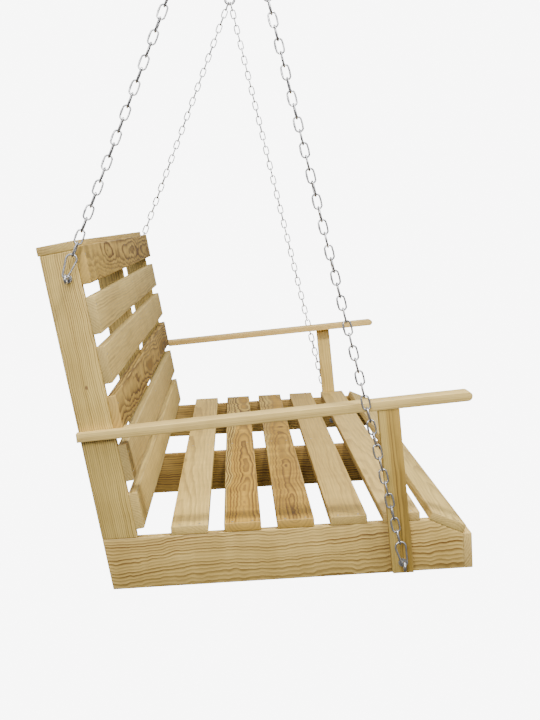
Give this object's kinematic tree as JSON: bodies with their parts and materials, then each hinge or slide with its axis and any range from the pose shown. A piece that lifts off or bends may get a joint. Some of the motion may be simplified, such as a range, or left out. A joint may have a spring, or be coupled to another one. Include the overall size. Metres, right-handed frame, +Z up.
{
  "type": "porch swing",
  "caption": "Slatted pine garden bench with a reclined back and armrests, hung on chains with snap hooks from two ceiling hangers",
  "frame": {"origin": "In the ceiling plane, at the centre of the four screw holes of the two hangers", "axes": "+X along the bench towards the left hand of someone sitting in it, +Y to the back of the bench, +Z up"},
  "size_m": [1.603, 0.8132, 1.4482],
  "materials": {
    "hanger_plate_left": "zinc plated, satin",
    "hanger_plate_right": "zinc plated, satin",
    "hanger_staple_left": "zinc plated, satin",
    "hanger_staple_right": "zinc plated, satin",
    "rail_left": "planed pressure-treated pine, oiled, slightly worn",
    "rail_middle": "planed pressure-treated pine, oiled, slightly worn",
    "rail_right": "planed pressure-treated pine, oiled, slightly worn",
    "upright_left": "planed pressure-treated pine, oiled, slightly worn",
    "upright_middle": "planed pressure-treated pine, oiled, slightly worn",
    "upright_right": "planed pressure-treated pine, oiled, slightly worn",
    "top_cap": "planed pressure-treated pine, oiled, slightly worn",
    "back_slat_1": "planed pressure-treated pine, oiled, slightly worn",
    "back_slat_2": "planed pressure-treated pine, oiled, slightly worn",
    "back_slat_3": "planed pressure-treated pine, oiled, slightly worn",
    "back_slat_4": "planed pressure-treated pine, oiled, slightly worn",
    "back_slat_5": "planed pressure-treated pine, oiled, slightly worn",
    "back_slat_6": "planed pressure-treated pine, oiled, slightly worn",
    "seat_slat_1": "planed pressure-treated pine, oiled, slightly worn",
    "seat_slat_2": "planed pressure-treated pine, oiled, slightly worn",
    "seat_slat_3": "planed pressure-treated pine, oiled, slightly worn",
    "seat_slat_4": "planed pressure-treated pine, oiled, slightly worn",
    "seat_slat_5": "planed pressure-treated pine, oiled, slightly worn",
    "front_slat": "planed pressure-treated pine, oiled, slightly worn",
    "front_apron": "planed pressure-treated pine, oiled, slightly worn",
    "arm_post_left": "planed pressure-treated pine, oiled, slightly worn",
    "arm_post_right": "planed pressure-treated pine, oiled, slightly worn",
    "armrest_left": "planed pressure-treated pine, oiled, slightly worn",
    "armrest_right": "planed pressure-treated pine, oiled, slightly worn",
    "eye_bolt_front_left": "zinc plated, satin",
    "eye_bolt_front_right": "zinc plated, satin",
    "eye_bolt_rear_left": "zinc plated, satin",
    "eye_bolt_rear_right": "zinc plated, satin",
    "eye_washers": "zinc plated, satin",
    "eye_nuts": "zinc plated, satin",
    "seat_screws": "zinc plated, satin",
    "back_screws": "zinc plated, satin",
    "cap_screws": "zinc plated, satin",
    "lap_screws": "zinc plated, satin",
    "apron_screws": "zinc plated, satin",
    "armrest_screws": "zinc plated, satin",
    "post_screws": "zinc plated, satin",
    "snap_hook_front_left": "zinc plated, satin",
    "snap_hook_front_right": "zinc plated, satin",
    "snap_hook_rear_left": "zinc plated, satin",
    "snap_hook_rear_right": "zinc plated, satin",
    "gate_front_left": "zinc plated, satin",
    "gate_front_right": "zinc plated, satin",
    "gate_rear_left": "zinc plated, satin",
    "gate_rear_right": "zinc plated, satin",
    "top_hook_left": "zinc plated, satin",
    "top_hook_right": "zinc plated, satin",
    "top_gate_left": "zinc plated, satin",
    "top_gate_right": "zinc plated, satin",
    "gate_pins": "zinc plated, satin",
    "chain_front_left": "zinc plated, satin",
    "chain_front_right": "zinc plated, satin",
    "chain_rear_left": "zinc plated, satin",
    "chain_rear_right": "zinc plated, satin"
  },
  "bodies": {
    "hangers": {"hanger_plate_left": "hanger_plate_left", "hanger_plate_right": "hanger_plate_right", "hanger_staple_left": "hanger_staple_left", "hanger_staple_right": "hanger_staple_right"},
    "bench": {"rail_left": "rail_left", "rail_middle": "rail_middle", "rail_right": "rail_right", "upright_left": "upright_left", "upright_middle": "upright_middle", "upright_right": "upright_right", "top_cap": "top_cap", "back_slat_1": "back_slat_1", "back_slat_2": "back_slat_2", "back_slat_3": "back_slat_3", "back_slat_4": "back_slat_4", "back_slat_5": "back_slat_5", "back_slat_6": "back_slat_6", "seat_slat_1": "seat_slat_1", "seat_slat_2": "seat_slat_2", "seat_slat_3": "seat_slat_3", "seat_slat_4": "seat_slat_4", "seat_slat_5": "seat_slat_5", "front_slat": "front_slat", "front_apron": "front_apron", "arm_post_left": "arm_post_left", "arm_post_right": "arm_post_right", "armrest_left": "armrest_left", "armrest_right": "armrest_right", "eye_bolt_front_left": "eye_bolt_front_left", "eye_bolt_front_right": "eye_bolt_front_right", "eye_bolt_rear_left": "eye_bolt_rear_left", "eye_bolt_rear_right": "eye_bolt_rear_right", "eye_washers": "eye_washers", "eye_nuts": "eye_nuts", "seat_screws": "seat_screws", "back_screws": "back_screws", "cap_screws": "cap_screws", "lap_screws": "lap_screws", "apron_screws": "apron_screws", "armrest_screws": "armrest_screws", "post_screws": "post_screws", "snap_hook_front_left": "snap_hook_front_left", "snap_hook_front_right": "snap_hook_front_right", "snap_hook_rear_left": "snap_hook_rear_left", "snap_hook_rear_right": "snap_hook_rear_right", "top_hook_left": "top_hook_left", "top_hook_right": "top_hook_right", "gate_pins": "gate_pins", "chain_front_left": "chain_front_left", "chain_front_right": "chain_front_right", "chain_rear_left": "chain_rear_left", "chain_rear_right": "chain_rear_right"},
    "gate_front_left_body": {"gate_front_left": "gate_front_left"},
    "gate_rear_left_body": {"gate_rear_left": "gate_rear_left"},
    "top_gate_left_body": {"top_gate_left": "top_gate_left"},
    "gate_front_right_body": {"gate_front_right": "gate_front_right"},
    "gate_rear_right_body": {"gate_rear_right": "gate_rear_right"},
    "top_gate_right_body": {"top_gate_right": "top_gate_right"}
  },
  "joints": [
    {"name": "swing", "type": "hinge", "parent": "hangers", "child": "bench", "pos_m": [0, 0, -0.037], "axis": [1, 0, 0], "range_deg": [-30, 30]},
    {"name": "gate_front_left_hinge", "type": "hinge", "parent": "bench", "child": "gate_front_left_body", "pos_m": [-0.79191, -0.33243, -1.38199], "axis": [-0.9992, 0.0095, 0.0376], "range_deg": [0, 25], "stiffness_Nm_per_rad": 0.05},
    {"name": "gate_rear_left_hinge", "type": "hinge", "parent": "bench", "child": "gate_rear_left_body", "pos_m": [-0.7749, 0.28499, -0.85616], "axis": [-0.9991, -0.015, 0.0397], "range_deg": [0, 25], "stiffness_Nm_per_rad": 0.05},
    {"name": "top_gate_left_hinge", "type": "hinge", "parent": "bench", "child": "top_gate_left_body", "pos_m": [-0.74, -0.00952, -0.04235], "axis": [1, 0, 0], "range_deg": [0, 25], "stiffness_Nm_per_rad": 0.05},
    {"name": "gate_front_right_hinge", "type": "hinge", "parent": "bench", "child": "gate_front_right_body", "pos_m": [0.79191, -0.33243, -1.38199], "axis": [-0.9992, -0.0095, -0.0376], "range_deg": [0, 25], "stiffness_Nm_per_rad": 0.05},
    {"name": "gate_rear_right_hinge", "type": "hinge", "parent": "bench", "child": "gate_rear_right_body", "pos_m": [0.7749, 0.28499, -0.85616], "axis": [-0.9991, 0.015, -0.0397], "range_deg": [0, 25], "stiffness_Nm_per_rad": 0.05},
    {"name": "top_gate_right_hinge", "type": "hinge", "parent": "bench", "child": "top_gate_right_body", "pos_m": [0.74, -0.00952, -0.04235], "axis": [1, 0, 0], "range_deg": [0, 25], "stiffness_Nm_per_rad": 0.05}
  ]
}
